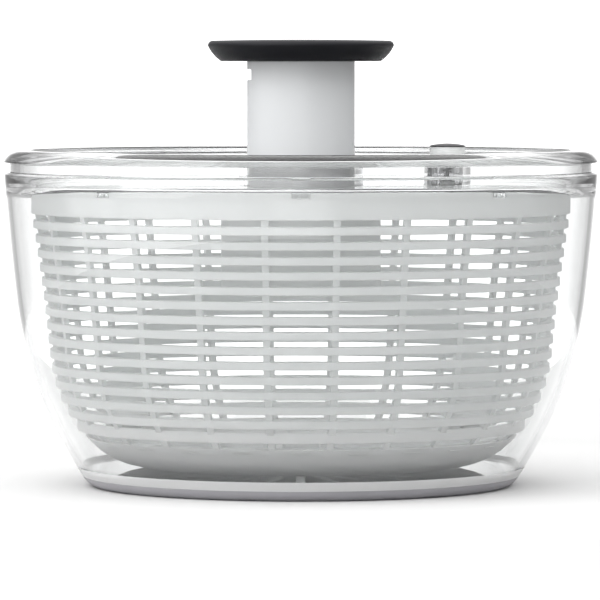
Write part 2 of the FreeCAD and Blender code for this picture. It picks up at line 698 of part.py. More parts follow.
def clutch_driver():
    hub = ring(0, DRIVER_HUB_R, DRIVER_Z, DRIVER_HUB_H)
    disc = ring(0, DRIVER_R, DRIVER_Z, PAWL_H)
    return fused([hub, disc] + around(pawl(), PAWL_COUNT)).cut(hexagon(DRIVER_Z, DRIVER_HUB_H))


def clutch_ring():
    teeth = []
    for tooth in range(RATCHET_TEETH):
        degrees = 360.0 * tooth / RATCHET_TEETH
        teeth += [spot(RATCHET_TIP_R + RATCHET_DEPTH, degrees), spot(RATCHET_TIP_R, degrees)]
    body = ring(0, WELL_IN_R, WELL_FLOOR_Z, RATCHET_H)
    return body.cut(prism(teeth, WELL_FLOOR_Z, RATCHET_H))


def screw_bearing():
    bore = JOURNAL_R + RUNNING
    return turned([
        (bore, WELL_BASE_Z), (BUSH_R, WELL_BASE_Z), (BUSH_R, WELL_FLOOR_Z), (BUSH_FLANGE_R, WELL_FLOOR_Z),
        (BUSH_FLANGE_R, WELL_FLOOR_Z + BUSH_FLANGE_T), (bore, WELL_FLOOR_Z + BUSH_FLANGE_T),
    ])


# Drive plate and well


def screw_places(shape):
    """Copies of a shape made on the axis, at the places of the well's screws."""
    return around(moved(shape, WELL_SCREW_CIRCLE), WELL_SCREWS, 180.0 / WELL_SCREWS)


def drive_plate():
    lip_r = BASKET_R - BASKET_WALL - PLATE_LIP_GAP
    plate = turned([
        (HUB_R, HUB_Z), (HUB_OUT_R, HUB_Z), (HUB_OUT_R, PLATE_Z), (lip_r - PLATE_LIP_T, PLATE_Z),
        (lip_r - PLATE_LIP_T, PLATE_Z - PLATE_LIP_H), (lip_r, PLATE_Z - PLATE_LIP_H), (lip_r, PLATE_Z),
        (PLATE_R, PLATE_Z), (PLATE_R, PLATE_TOP_Z), (HUB_R, PLATE_TOP_Z),
    ])
    lug = block(lip_r - PLATE_LIP_T / 2, PLATE_R, LUG_W, BASKET_TOP_Z - LUG_H + CLEAR, PLATE_TOP_Z)
    holes = screw_places(ring(0, WELL_SCREW_R, PLATE_Z, PLATE_T))
    return cut(fused([plate] + around(lug, LUG_COUNT)), holes)


def drive_well():
    flange_r = WELL_R + WELL_FLANGE_W
    flange_z = PLATE_Z - WELL_FLANGE_T
    shell = turned([
        (BUSH_R, WELL_BASE_Z), (WELL_R, WELL_BASE_Z), (WELL_R, flange_z), (flange_r, flange_z),
        (flange_r, PLATE_Z), (WELL_IN_R, PLATE_Z), (WELL_IN_R, WELL_FLOOR_Z), (BUSH_R, WELL_FLOOR_Z),
    ])
    boss_z = PLATE_TOP_Z - WELL_SCREW_L
    bosses = screw_places(ring(0, WELL_BOSS_R, boss_z, flange_z - boss_z))
    holes = screw_places(ring(0, WELL_SCREW_R, boss_z, PLATE_Z - boss_z))
    return cut(fused([shell] + bosses), holes)


def well_screws():
    shank = ring(0, WELL_SCREW_R, PLATE_TOP_Z - WELL_SCREW_L, WELL_SCREW_L)
    head = ring(0, WELL_SCREW_HEAD_R, PLATE_TOP_Z, WELL_SCREW_HEAD_H)
    return Part.makeCompound(screw_places(fused([shank, head])))


# Brake


def brake_button():
    skirt_r = BUTTON_R - BUTTON_WALL
    boss_r = STEM_R + BUTTON_WALL / 2
    return moved(turned_edges([
        path((BUTTON_R, BUTTON_EDGE_Z), (BUTTON_R, BUTTON_Z), (skirt_r, BUTTON_Z), (skirt_r, BUTTON_ROOF_Z),
             (boss_r, BUTTON_ROOF_Z), (boss_r, BUTTON_Z + BUTTON_WALL), (STEM_R, BUTTON_Z + BUTTON_WALL),
             (STEM_R, BUTTON_ROOF_Z), (0, BUTTON_ROOF_Z), (0, BUTTON_TOP_Z)),
        arc((0, BUTTON_TOP_Z), (BUTTON_R / 2, BUTTON_TOP_Z - BUTTON_DOME / 4), (BUTTON_R, BUTTON_EDGE_Z)),
    ]), BRAKE_X)


def brake_stem():
    foot_z = PAD_Z + PAD_T - STEM_FOOT_T
    return moved(turned([
        (0, foot_z), (STEM_FOOT_R, foot_z), (STEM_FOOT_R, PAD_Z + PAD_T), (STEM_R, PAD_Z + PAD_T),
        (STEM_R, BUTTON_ROOF_Z), (0, BUTTON_ROOF_Z),
    ]), BRAKE_X)


def brake_pad():
    foot_z = PAD_Z + PAD_T - STEM_FOOT_T
    return moved(turned([
        (0, PAD_Z), (PAD_R, PAD_Z), (PAD_R, PAD_Z + PAD_T), (STEM_FOOT_R, PAD_Z + PAD_T),
        (STEM_FOOT_R, foot_z), (0, foot_z),
    ]), BRAKE_X)


def brake_spring():
    spring = coil(BRAKE_SPRING_R, BRAKE_SPRING_WIRE, CUP_FLOOR_Z, BUTTON_ROOF_Z, BRAKE_SPRING_TURNS)
    return moved(spring, BRAKE_X)


NODES = [
    foot_ring, bowl, basket, lid_shell, bearing_ring, retaining_clip, plunger_tube, knob_core, knob_grip,
    lock_slider, lock_latch, drive_screw, drive_nut, return_spring, thrust_washer, clutch_driver, clutch_ring,
    screw_bearing, drive_plate, drive_well, well_screws, brake_button, brake_stem, brake_pad, brake_spring,
]


def main():
    os.makedirs("parts", exist_ok=True)
    for node in NODES:
        node().exportStep("parts/" + node.__name__ + ".step")


if __name__ == "__main__":
    main()
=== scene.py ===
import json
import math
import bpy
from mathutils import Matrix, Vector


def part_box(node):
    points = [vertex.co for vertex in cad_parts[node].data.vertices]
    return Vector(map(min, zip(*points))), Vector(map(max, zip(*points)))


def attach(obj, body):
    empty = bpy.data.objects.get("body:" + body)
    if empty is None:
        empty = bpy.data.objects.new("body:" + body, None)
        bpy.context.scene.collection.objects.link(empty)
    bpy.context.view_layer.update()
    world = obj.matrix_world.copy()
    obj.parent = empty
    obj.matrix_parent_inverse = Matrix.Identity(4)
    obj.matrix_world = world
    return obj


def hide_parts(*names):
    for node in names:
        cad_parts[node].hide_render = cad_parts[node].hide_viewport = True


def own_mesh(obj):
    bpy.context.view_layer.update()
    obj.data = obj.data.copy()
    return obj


bl_info = {
    "name": "Salad spinner finish",
    "version": (1, 0, 0),
    "blender": (4, 5, 0),
    "location": "3D view > Sidebar > Spinner",
    "description": "Moulds the clear, milky, white and black pieces of a pump salad spinner over its frame",
    "category": "Object",
}

import bmesh
import bpy
from mathutils import Matrix, Vector

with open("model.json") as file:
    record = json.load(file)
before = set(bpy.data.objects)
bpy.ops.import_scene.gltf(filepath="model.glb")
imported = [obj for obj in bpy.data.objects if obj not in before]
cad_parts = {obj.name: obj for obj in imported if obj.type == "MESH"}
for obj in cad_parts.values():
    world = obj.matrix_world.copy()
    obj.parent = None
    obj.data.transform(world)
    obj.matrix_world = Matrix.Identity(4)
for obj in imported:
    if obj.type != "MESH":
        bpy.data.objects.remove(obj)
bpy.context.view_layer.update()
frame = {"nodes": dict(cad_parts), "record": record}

MM = 0.001
TOUCHING = 0.001 * MM
LEVEL = 0.01 * MM
TURN = 2 * math.pi
UPWARD = Vector((0, 0, 1))


def low(node):
    """Lowest corner of a node of the frame, in metres."""
    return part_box(node)[0]


def high(node):
    """Highest corner of a node of the frame, in metres."""
    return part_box(node)[1]


# What a user would change


class SpinnerSizes(bpy.types.PropertyGroup):
    """Sizes of the moulded pieces that the frame leaves open."""

    wall: bpy.props.FloatProperty(
        name="Bowl wall", description="Thickness of the clear bowl's side", default=2.6 * MM, unit="LENGTH")
    slot_rows: bpy.props.IntProperty(
        name="Slot rows", description="Rows of slots in the basket", default=16, min=2)
    bays: bpy.props.IntProperty(
        name="Bays", description="Slots in each row of the basket", default=24, min=6)
    rib_width: bpy.props.FloatProperty(
        name="Rib width", description="Width of the basket's upright ribs", default=3.1 * MM, unit="LENGTH")
    hoop_proud: bpy.props.FloatProperty(
        name="Hoop step", description="How far the basket's hoops stand out past its ribs", default=1.5 * MM,
        unit="LENGTH")
    basket_wall: bpy.props.FloatProperty(
        name="Basket wall", description="Thickness of the basket's ribs and bands", default=2.2 * MM,
        unit="LENGTH")


class SpinnerColours(bpy.types.PropertyGroup):
    """Colours of the finishes."""

    clear: bpy.props.FloatVectorProperty(
        name="Clear plastic", description="Tint of the bowl, lid and drive plate", subtype="COLOR", size=4,
        default=(0.99, 0.995, 0.995, 1))
    milk: bpy.props.FloatVectorProperty(
        name="Milky plastic", description="Body colour of the basket and the well", subtype="COLOR", size=4,
        default=(0.82, 0.84, 0.835, 1))
    white: bpy.props.FloatVectorProperty(
        name="White plastic", description="Plunger tube and the white pieces of the mechanism",
        subtype="COLOR", size=4, default=(0.56, 0.57, 0.58, 1))
    black: bpy.props.FloatVectorProperty(
        name="Black skin", description="Knob and brake button", subtype="COLOR", size=4,
        default=(0.006, 0.006, 0.008, 1))
    foot: bpy.props.FloatVectorProperty(
        name="Foot ring", description="Soft ring under the bowl", subtype="COLOR", size=4,
        default=(0.5, 0.49, 0.52, 1))


def sizes():
    """The sizes set in the panel."""
    return bpy.context.scene.spinner_sizes


def colours():
    """The colours set in the panel."""
    return bpy.context.scene.spinner_colours


# Drawing and turning


class Pen:
    """Draws a section in the XZ plane as a chain of edges, which a spin then turns about the axis."""

    def __init__(self, r, z):
        self.mesh = bmesh.new()
        self.tip = self.mesh.verts.new((r, 0, z))
        self.start = self.tip

    def line(self, *corners):
        """Straight runs through (radius, height) corners."""
        for r, z in corners:
            grown = bmesh.ops.extrude_vert_indiv(self.mesh, verts=[self.tip])
            self.tip = grown["verts"][0]
            self.tip.co = (r, 0, z)
        return self

    def arc(self, centre_r, centre_z, degrees, steps=8):
        """Turns the tip about a centre; a positive angle runs from +X towards +Z."""
        grown = bmesh.ops.spin(
            self.mesh, geom=[self.tip], cent=(centre_r, 0, centre_z), axis=(0, -1, 0),
            angle=math.radians(degrees), steps=steps, use_duplicate=False)
        self.tip = next(part for part in grown["geom_last"] if isinstance(part, bmesh.types.BMVert))
        return self

    def curve(self, r, z, way, steps=12):
        """An arc that leaves along a way and ends at a point."""
        chord = Vector((r - self.tip.co.x, 0, z - self.tip.co.z))
        half = math.atan2(way.x * chord.z - way.z * chord.x, way.dot(chord))
        radius = chord.length / (2 * math.sin(half))
        centre = self.tip.co + Vector((-way.z, 0, way.x)) * radius
        self.arc(centre.x, centre.z, math.degrees(2 * half), steps)
        self.tip.co = (r, 0, z)
        return self

    def close(self):
        """Joins the tip to the start."""
        self.mesh.edges.new((self.tip, self.start))
        return self

    def soften(self, width, least=25.0, segments=3):
        """Rounds the section's corners by a width, apart from those on the axis."""
        corners = []
        for vertex in self.mesh.verts:
            if len(vertex.link_edges) == 2 and vertex.co.x > TOUCHING:
                one, two = [edge.other_vert(vertex).co - vertex.co for edge in vertex.link_edges]
                if one.angle(-two) > math.radians(least):
                    corners.append(vertex)
        bmesh.ops.bevel(
            self.mesh, geom=corners, offset=width, offset_type="OFFSET", affect="VERTICES", segments=segments,
            profile=0.5, material=-1, clamp_overlap=True)
        return self

    def turned(self, steps=192):
        """The skin swept by the section in a full turn, without the edges left on the axis."""
        bmesh.ops.spin(
            self.mesh, geom=self.mesh.verts[:] + self.mesh.edges[:], cent=(0, 0, 0), axis=UPWARD, angle=TURN,
            steps=steps, use_merge=True)
        bmesh.ops.remove_doubles(self.mesh, verts=self.mesh.verts[:], dist=TOUCHING)
        spare = [edge for edge in self.mesh.edges if not edge.link_faces]
        bmesh.ops.delete(self.mesh, geom=spare, context="EDGES")
        bmesh.ops.recalc_face_normals(self.mesh, faces=self.mesh.faces[:])
        return self.mesh


def stored(name, mesh):
    """Mesh data holding a bmesh, which is freed."""
    data = bpy.data.meshes.new(name)
    mesh.to_mesh(data)
    mesh.free()
    return data


def placed(name, data):
    """A new object in the scene, at the origin."""
    made = bpy.data.objects.new(name, data)
    bpy.context.scene.collection.objects.link(made)
    return made


def piece(name, mesh, body, material, stands_for=(), edge=0.0, crease=35.0):
    """Makes a finished piece of a mesh: smooth, with its sharp edges rounded, riding on its body."""
    for face in mesh.faces:
        face.smooth = True
    for line in mesh.edges:
        line.smooth = line.calc_face_angle(0.0) < math.radians(crease)
    data = stored(name, mesh)
    data.materials.append(material)
    made = placed(name, data)
    if edge:
        rounding = made.modifiers.new("rounded edges", "BEVEL")
        rounding.limit_method = "ANGLE"
        rounding.angle_limit = math.radians(crease)
        rounding.width = edge
        rounding.segments = 3
        rounding.profile = 0.5
        rounding.harden_normals = True
    even = made.modifiers.new("even shading", "WEIGHTED_NORMAL")
    even.keep_sharp = True
    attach(made, body)
    if stands_for:
        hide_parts(*stands_for)
    return made


# Finishes


def finish(name, **values):
    """A new material with its principled shader, whose named inputs are set."""
    material = bpy.data.materials.new(name)
    material.use_nodes = True
    shader = material.node_tree.nodes["Principled BSDF"]
    for key, value in values.items():
        shader.inputs[key.replace("_", " ")].default_value = value
    return material, material.node_tree, shader


def add(tree, kind, **values):
    """A node whose settings and inputs are given by name."""
    node = tree.nodes.new(kind)
    for key, value in values.items():
        if hasattr(node, key):
            setattr(node, key, value)
        else:
            node.inputs[key.replace("_", " ")].default_value = value
    return node


def grain(tree, shader, scale, strength, distance, detail=3.0):
    """A fine moulded grain in the surface, on Object coordinates."""
    place = add(tree, "ShaderNodeTexCoord")
    noise = add(tree, "ShaderNodeTexNoise", Scale=scale, Detail=detail, Roughness=0.6)
    bump = add(tree, "ShaderNodeBump", Strength=strength, Distance=distance)
    tree.links.new(place.outputs["Object"], noise.inputs["Vector"])
    tree.links.new(noise.outputs["Fac"], bump.inputs["Height"])
    tree.links.new(bump.outputs["Normal"], shader.inputs["Normal"])
    return noise


def varied(tree, noise, socket, low_value, high_value):
    """Drives a number of the shader from a noise, between two values."""
    spread = add(
        tree, "ShaderNodeMapRange", From_Min=0.3, From_Max=0.7, To_Min=low_value, To_Max=high_value)
    tree.links.new(noise.outputs["Fac"], spread.inputs["Value"])
    tree.links.new(spread.outputs["Result"], socket)


CLEAR_ABSORBS = (0.18, 0.18, 0.2, 1)
CLEAR_DENSITY = 9.0


def clear_plastic():
    """Polished styrene: clear, a little grey through deep sections, with a faint waviness from the mould."""
    material, tree, shader = finish(
        "clear_plastic", Base_Color=colours().clear, Roughness=0.0, IOR=1.5, Transmission_Weight=1.0)
    grain(tree, shader, 30.0, 0.02, 0.2 * MM, 1.0)
    depth = add(tree, "ShaderNodeVolumeAbsorption", Color=CLEAR_ABSORBS, Density=CLEAR_DENSITY)
    tree.links.new(depth.outputs["Volume"], tree.nodes["Material Output"].inputs["Volume"])
    return material


def frosted_plastic():
    """The same clear styrene where the mould is sanded, under the base."""
    material, tree, shader = finish(
        "frosted_plastic", Base_Color=colours().clear, Roughness=0.3, IOR=1.5, Transmission_Weight=0.5)
    grain(tree, shader, 500.0, 0.2, 0.05 * MM)
    return material


# Painted light: the milky plastic turns whiter low down, lifting the shade in the basket's lower part.
PAINTED_LIGHT_WHITE = (0.97, 0.98, 0.97, 1)
PAINTED_LIGHT_LOW, PAINTED_LIGHT_HIGH = 20 * MM, 45 * MM


def milky_plastic():
    """Satin polypropylene that lets a soft light through, with painted light: whiter low down, to lift the
    shade in the basket's lower part.
    """
    material, tree, shader = finish(
        "milky_plastic", Base_Color=colours().milk, Roughness=0.35, IOR=1.49, Transmission_Weight=0.1,
        Subsurface_Weight=0.8, Subsurface_Radius=(0.004, 0.004, 0.004), Subsurface_Scale=1.0)
    noise = grain(tree, shader, 400.0, 0.1, 0.05 * MM)
    varied(tree, noise, shader.inputs["Roughness"], 0.3, 0.42)
    place = add(tree, "ShaderNodeTexCoord")
    height = add(tree, "ShaderNodeSeparateXYZ")
    tree.links.new(place.outputs["Object"], height.inputs["Vector"])
    # Painted light: whiter below the low height, fading to the milk colour at the high one.
    painted_light_share = add(
        tree, "ShaderNodeMapRange", From_Min=PAINTED_LIGHT_LOW, From_Max=PAINTED_LIGHT_HIGH, To_Min=1.0, To_Max=0.0)
    tree.links.new(height.outputs["Z"], painted_light_share.inputs["Value"])
    painted_light_tint = add(tree, "ShaderNodeMix", data_type="RGBA")
    painted_light_tint.inputs["A"].default_value = colours().milk
    painted_light_tint.inputs["B"].default_value = PAINTED_LIGHT_WHITE
    tree.links.new(painted_light_share.outputs["Result"], painted_light_tint.inputs["Factor"])
    tree.links.new(painted_light_tint.outputs["Result"], shader.inputs["Base Color"])
    return material


def white_plastic():
    """Opaque white, satin from the tool."""
    material, tree, shader = finish(
        "white_plastic", Base_Color=colours().white, Roughness=0.35, IOR=1.49, Subsurface_Weight=0.15,
        Subsurface_Radius=(0.003, 0.003, 0.003), Subsurface_Scale=1.0)
    noise = grain(tree, shader, 900.0, 0.08, 0.03 * MM)
    varied(tree, noise, shader.inputs["Roughness"], 0.3, 0.42)
    return material


def soft_black():
    """Soft-touch rubber skin: matt, with a broad dull sheen."""
    material, tree, shader = finish(
        "soft_black", Base_Color=colours().black, Roughness=0.5, IOR=1.45, Specular_IOR_Level=0.2)
    noise = grain(tree, shader, 1500.0, 0.25, 0.04 * MM)
    varied(tree, noise, shader.inputs["Roughness"], 0.42, 0.55)
    return material


def black_plastic():
    """Hard black plastic with a fine spark finish."""
    material, tree, shader = finish(
        "black_plastic", Base_Color=colours().black, Roughness=0.3, IOR=1.5, Specular_IOR_Level=0.3)
    noise = grain(tree, shader, 1200.0, 0.12, 0.03 * MM)
    varied(tree, noise, shader.inputs["Roughness"], 0.25, 0.38)
    return material


def foot_rubber():
    """Cloudy soft elastomer."""
    material, tree, shader = finish(
        "foot_rubber", Base_Color=colours().foot, Roughness=0.45, IOR=1.47, Transmission_Weight=0.35,
        Subsurface_Weight=0.3, Subsurface_Radius=(0.004, 0.004, 0.004), Subsurface_Scale=1.0)
    noise = grain(tree, shader, 600.0, 0.15, 0.04 * MM)
    varied(tree, noise, shader.inputs["Roughness"], 0.4, 0.55)
    return material


STEEL = (0.62, 0.62, 0.64, 1)


def bright_steel():
    """Drawn wire and pressed steel, with faint drawing marks."""
    material, tree, shader = finish("bright_steel", Base_Color=STEEL, Metallic=1.0, Roughness=0.25)
    noise = grain(tree, shader, 800.0, 0.1, 0.02 * MM)
    varied(tree, noise, shader.inputs["Roughness"], 0.18, 0.35)
    return material


FINISHES = {
    "clear_plastic": clear_plastic, "milky_plastic": milky_plastic, "white_plastic": white_plastic,
    "white_acetal": white_plastic, "black_soft": soft_black, "black_plastic": black_plastic,
    "foot_rubber": foot_rubber, "spring_steel": bright_steel,
}


def finish_of(slot):
    """The slot's material, made once."""
    made = bpy.data.materials.get("slot " + slot)
    if made is None:
        made = FINISHES[slot]()
        made.name = "slot " + slot
    return made


# Shapes that the pieces share


class Side:
    """The side of a moulding: arcs that touch end to end, from a low point to a high one.

    The curve gives shares of the height and of the widening, and degrees the slope at the start.
    """

    def __init__(self, curve, degrees, low_r, low_z, high_r, high_z):
        way = Vector((math.cos(math.radians(degrees)), 0, math.sin(math.radians(degrees))))
        places = [
            Vector((low_r + (high_r - low_r) * wide, 0, low_z + (high_z - low_z) * up))
            for up, wide in curve]
        self.arcs = []
        for start, end in zip(places, places[1:]):
            chord = end - start
            half = math.atan2(way.x * chord.z - way.z * chord.x, way.dot(chord))
            radius = chord.length / (2 * math.sin(half))
            centre = start + Vector((-way.z, 0, way.x)) * radius
            self.arcs.append((centre, radius, start.z, end.z))
            chord.normalize()
            way = chord * (2 * way.dot(chord)) - way

    def spans(self, wall=0.0):
        """Each arc, set in by a wall, as its centre, radius, low end and high end."""
        for centre, radius, start_z, end_z in self.arcs:
            share = (radius - wall) / radius
            low_end = centre.z + (start_z - centre.z) * share
            high_end = centre.z + (end_z - centre.z) * share
            yield centre, radius - wall, low_end, high_end

    def radius(self, z):
        """The side's radius at a height."""
        spans = list(self.spans())
        centre, radius = next((span[:2] for span in spans if z <= span[3]), spans[-1][:2])
        return centre.x + math.copysign(math.sqrt(radius ** 2 - (z - centre.z) ** 2), radius)

    def draw(self, pen, low_z, high_z, wall=0.0, steps=10):
        """Draws the side between two heights, in the order given: the higher one first runs down."""
        bottom, top = min(low_z, high_z), max(low_z, high_z)
        spans = [
            span for span in self.spans(wall) if span[3] > bottom + TOUCHING and span[2] < top - TOUCHING]
        down = low_z > high_z
        for centre, radius, start_z, end_z in reversed(spans) if down else spans:
            angles = [
                math.degrees(math.asin((z - centre.z) / radius))
                for z in (max(start_z, bottom), min(end_z, top))]
            first, last = reversed(angles) if down else angles
            begin = math.radians(first)
            pen.line((centre.x + radius * math.cos(begin), centre.z + radius * math.sin(begin)))
            pen.arc(centre.x, centre.z, last - first, steps)
        return pen


def round_box(x0, x1, y0, y1, z0, z1, edge, segments=3):
    """A block with rounded edges."""
    mesh = bmesh.new()
    bmesh.ops.create_cube(mesh, size=1.0)
    bmesh.ops.scale(mesh, vec=(x1 - x0, y1 - y0, z1 - z0), verts=mesh.verts)
    bmesh.ops.translate(mesh, vec=((x0 + x1) / 2, (y0 + y1) / 2, (z0 + z1) / 2), verts=mesh.verts)
    bmesh.ops.bevel(
        mesh, geom=mesh.edges[:], offset=edge, offset_type="OFFSET", affect="EDGES", segments=segments,
        profile=0.5, material=-1, clamp_overlap=True)
    return mesh


def polar(place):
    """A place's distance from the axis and its angle round it."""
    return math.hypot(place.x, place.y), math.atan2(place.y, place.x)


def at_radius(vertices, radius):
    """Sets vertices at a radius from the axis, each at its own angle and height."""
    for vertex in vertices:
        scale = radius / math.hypot(vertex.co.x, vertex.co.y)
        vertex.co.x *= scale
        vertex.co.y *= scale


def gather(mesh, steps, every, start, reach, width, rows):
    """Draws the columns on either side of evenly spaced places in to a width, in the rows that pass a test.

    The mesh has so many steps a turn. Places come every so many steps from a start, and reach is how many
    steps from its place a column stands that is drawn in.
    """
    step = TURN / steps
    for vertex in mesh.verts:
        r, angle = polar(vertex.co)
        column = round(angle / step - start)
        near = (column + every // 2) % every - every // 2
        if abs(near) == reach and rows(r, vertex.co.z):
            turn = (column - near + start) * step + math.copysign(math.asin(width / 2 / r), near)
            vertex.co.x, vertex.co.y = r * math.cos(turn), r * math.sin(turn)


def cut_out(mesh, faces):
    """Takes a patch of faces out of a skin, and gives the hole's edges."""
    taken = set(faces)
    edges = dict.fromkeys(edge for face in faces for edge in face.edges)
    border = [edge for edge in edges if sum(face in taken for face in edge.link_faces) == 1]
    bmesh.ops.delete(mesh, geom=faces, context="FACES")
    return [edge for edge in border if edge.is_valid]


def circle(mesh, x, z, radius, segments):
    """A level loop of edges about (x, 0)."""
    made = bmesh.ops.create_circle(mesh, segments=segments, radius=radius)["verts"]
    bmesh.ops.translate(mesh, vec=(x, 0, z), verts=made)
    return list(dict.fromkeys(edge for vertex in made for edge in vertex.link_edges))


def cut_window(mesh, bottom, top, reach, half_angle):
    """Opens a window for the latch through an upright wall, on its -X side, and lines it."""
    walls = []
    for face in mesh.faces:
        centre = face.calc_center_median()
        upright = bottom < centre.z < top and abs(face.normal.z) < 0.5
        if upright and math.hypot(centre.x, centre.y) < reach:
            if abs(math.atan2(centre.y, -centre.x)) < half_angle:
                walls.append(face)
    bmesh.ops.bridge_loops(mesh, edges=cut_out(mesh, walls))


def points_of(geometry):
    """The vertices among what an operator gives."""
    return [part for part in geometry if isinstance(part, bmesh.types.BMVert)]


def edges_of(geometry):
    """The edges among what an operator gives."""
    return [part for part in geometry if isinstance(part, bmesh.types.BMEdge)]


def follow(mesh, edges, *rims):
    """Draws a wall on from a loop through round (x, radius, z) rims. Gives the last loop."""
    for x, radius, z in rims:
        grown = bmesh.ops.extrude_edge_only(mesh, edges=edges)["geom"]
        edges = edges_of(grown)
        for vertex in points_of(grown):
            away = Vector((vertex.co.x - x, vertex.co.y, 0)).normalized() * radius
            vertex.co = Vector((x, 0, z)) + away
    return edges


# Bowl and foot ring

BOWL_CURVE = ((0, 0), (0.223, 0.466), (0.591, 0.852), (1, 1))
BASKET_CURVE = ((0, 0), (0.091, 0.478), (0.446, 0.841), (1, 1))
BOWL_SLOPE, BASKET_SLOPE = 57.0, 0.0
ROUND_STEPS = 256
SEAT_WIDTH = 10 * MM
FLOOR_THICK = 6.5 * MM
CONE_HIGH = 14 * MM
FOOT_GAP = 0.02 * MM


def make_bowl():
    """The clear bowl: side, rim bead, floor and pivot cone turned in one, frosted underneath."""
    base_z, rim_z = low("bowl").z, high("bowl").z
    foot_r, foot_z = high("foot_ring").x, high("foot_ring").z
    side = Side(BOWL_CURVE, BOWL_SLOPE, foot_r, foot_z, high("bowl").x, rim_z)
    wall = sizes().wall
    seat_r = foot_r - SEAT_WIDTH
    floor_z = base_z + FLOOR_THICK
    edge = 1.0 * MM
    rim_r = side.radius(rim_z - edge)
    bead_r = high("bowl").x - 4.3 * MM
    bead_z = rim_z - 5.0 * MM
    neck_z = bead_z - 2.7 * MM
    pen = Pen(0, base_z)
    pen.line((seat_r, base_z), (seat_r, foot_z), (foot_r, foot_z))
    side.draw(pen, foot_z, rim_z - edge, steps=14)
    pen.line((rim_r - edge, rim_z), (bead_r + edge, rim_z), (bead_r, rim_z - edge), (bead_r, bead_z))
    side.draw(pen, neck_z, floor_z, wall, steps=14)
    pen.line((9 * MM, floor_z), (4 * MM, floor_z + CONE_HIGH), (0, floor_z + CONE_HIGH))
    mesh = pen.soften(0.6 * MM).turned(ROUND_STEPS)
    for face in mesh.faces:
        face.material_index = int(face.calc_center_median().z < floor_z - 0.1 * MM)
    made = piece("bowl_clear", mesh, "bowl", finish_of("clear_plastic"), ["bowl"])
    made.data.materials.append(frosted_plastic())


def make_foot():
    """The soft ring pressed on the bowl's base."""
    foot_r, top_z = high("foot_ring").x, high("foot_ring").z - FOOT_GAP
    seat_r = foot_r - SEAT_WIDTH
    lip_r, lip_z = seat_r - 2 * MM, low("bowl").z - FOOT_GAP
    pen = Pen(foot_r, top_z)
    pen.line((seat_r + FOOT_GAP, top_z), (seat_r + FOOT_GAP, lip_z), (lip_r, lip_z), (lip_r, 0))
    pen.line((foot_r - 6 * MM, 0))
    pen.curve(foot_r, top_z, Vector((1, 0, 0.2)).normalized(), 8)
    mesh = pen.soften(0.4 * MM).turned(ROUND_STEPS)
    piece("foot_soft", mesh, "bowl", finish_of("foot_rubber"), ["foot_ring"])


# Basket

BAY_STEPS = 6
LUGS = 8
LUG_DEEP = 3 * MM


